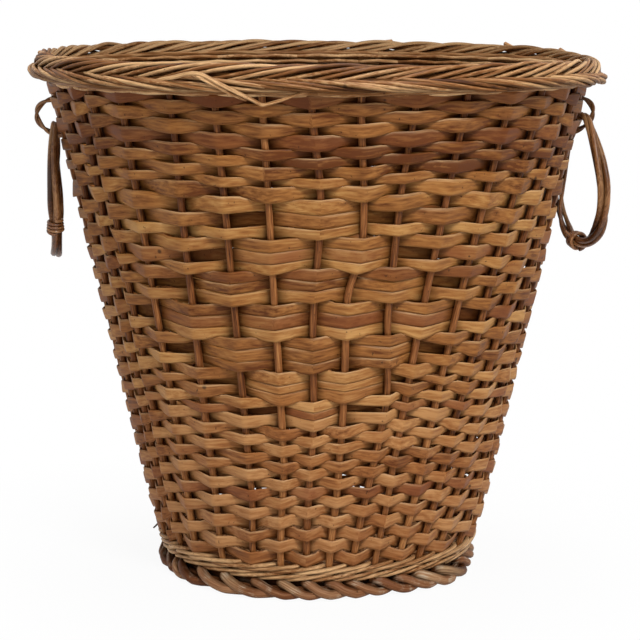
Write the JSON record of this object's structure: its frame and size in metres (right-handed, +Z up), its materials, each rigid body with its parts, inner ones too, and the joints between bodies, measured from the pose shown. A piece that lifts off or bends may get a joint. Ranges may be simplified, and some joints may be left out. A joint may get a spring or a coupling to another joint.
{
  "type": "wicker waste basket",
  "caption": "Round tapering wicker waste basket of flat strips woven over upright stakes, with a plaited rim and foot and a hanging ring handle on each side.",
  "frame": {"origin": "middle of the footprint, on the plane that the foot border stands on", "axes": "+Z up through the mouth, -Y the front with the wide woven panel, +X towards the handle on the right of the picture"},
  "size_m": [0.3642, 0.3628, 0.3255],
  "materials": {
    "stake_willow": "satin, stained brown",
    "flat_strip": "satin, golden tan to reddish brown",
    "border_willow": "satin, brown with pale highlights",
    "foot_willow": "dull, scuffed",
    "base_willow": "dull",
    "handle_willow": "satin, dark brown"
  },
  "bodies": {
    "basket": {"base_weave": "base_willow", "foot_border": "foot_willow", "upsett_waling": "border_willow", "stake_01": "stake_willow", "stake_02": "stake_willow", "stake_03": "stake_willow", "stake_04": "stake_willow", "stake_05": "stake_willow", "stake_06": "stake_willow", "stake_07": "stake_willow", "stake_08": "stake_willow", "stake_09": "stake_willow", "stake_10": "stake_willow", "stake_11": "stake_willow", "stake_12": "stake_willow", "stake_13": "stake_willow", "stake_14": "stake_willow", "stake_15": "stake_willow", "stake_16": "stake_willow", "stake_17": "stake_willow", "stake_18": "stake_willow", "stake_19": "stake_willow", "stake_20": "stake_willow", "stake_21": "stake_willow", "stake_22": "stake_willow", "stake_23": "stake_willow", "stake_24": "stake_willow", "stake_25": "stake_willow", "stake_26": "stake_willow", "stake_27": "stake_willow", "stake_28": "stake_willow", "stake_29": "stake_willow", "stake_30": "stake_willow", "stake_31": "stake_willow", "stake_32": "stake_willow", "stake_33": "stake_willow", "stake_34": "stake_willow", "stake_35": "stake_willow", "stake_36": "stake_willow", "weave_course_01": "flat_strip", "weave_course_02": "flat_strip", "weave_course_03": "flat_strip", "weave_course_04": "flat_strip", "weave_course_05": "flat_strip", "weave_course_06": "flat_strip", "weave_course_07": "flat_strip", "weave_course_08": "flat_strip", "weave_course_09": "flat_strip", "weave_course_10": "flat_strip", "weave_course_11": "flat_strip", "weave_course_12": "flat_strip", "weave_course_13": "flat_strip", "weave_course_14": "flat_strip", "rim_plait": "border_willow", "hanger_left": "handle_willow", "hanger_right": "handle_willow"},
    "handle_left": {"handle_ring_left": "handle_willow", "handle_binding_left": "handle_willow"},
    "handle_right": {"handle_ring_right": "handle_willow", "handle_binding_right": "handle_willow"}
  },
  "joints": [
    {"name": "handle_left_swing", "type": "hinge", "parent": "basket", "child": "handle_left", "pos_m": [-0.16367, -0.01298, 0.27864], "axis": [-0.1045, 0.9945, 0], "range_deg": [-2, 130]},
    {"name": "handle_right_swing", "type": "hinge", "parent": "basket", "child": "handle_right", "pos_m": [0.16756, 0.01329, 0.28207], "axis": [0.4067, -0.9135, 0], "range_deg": [-1, 125]}
  ]
}
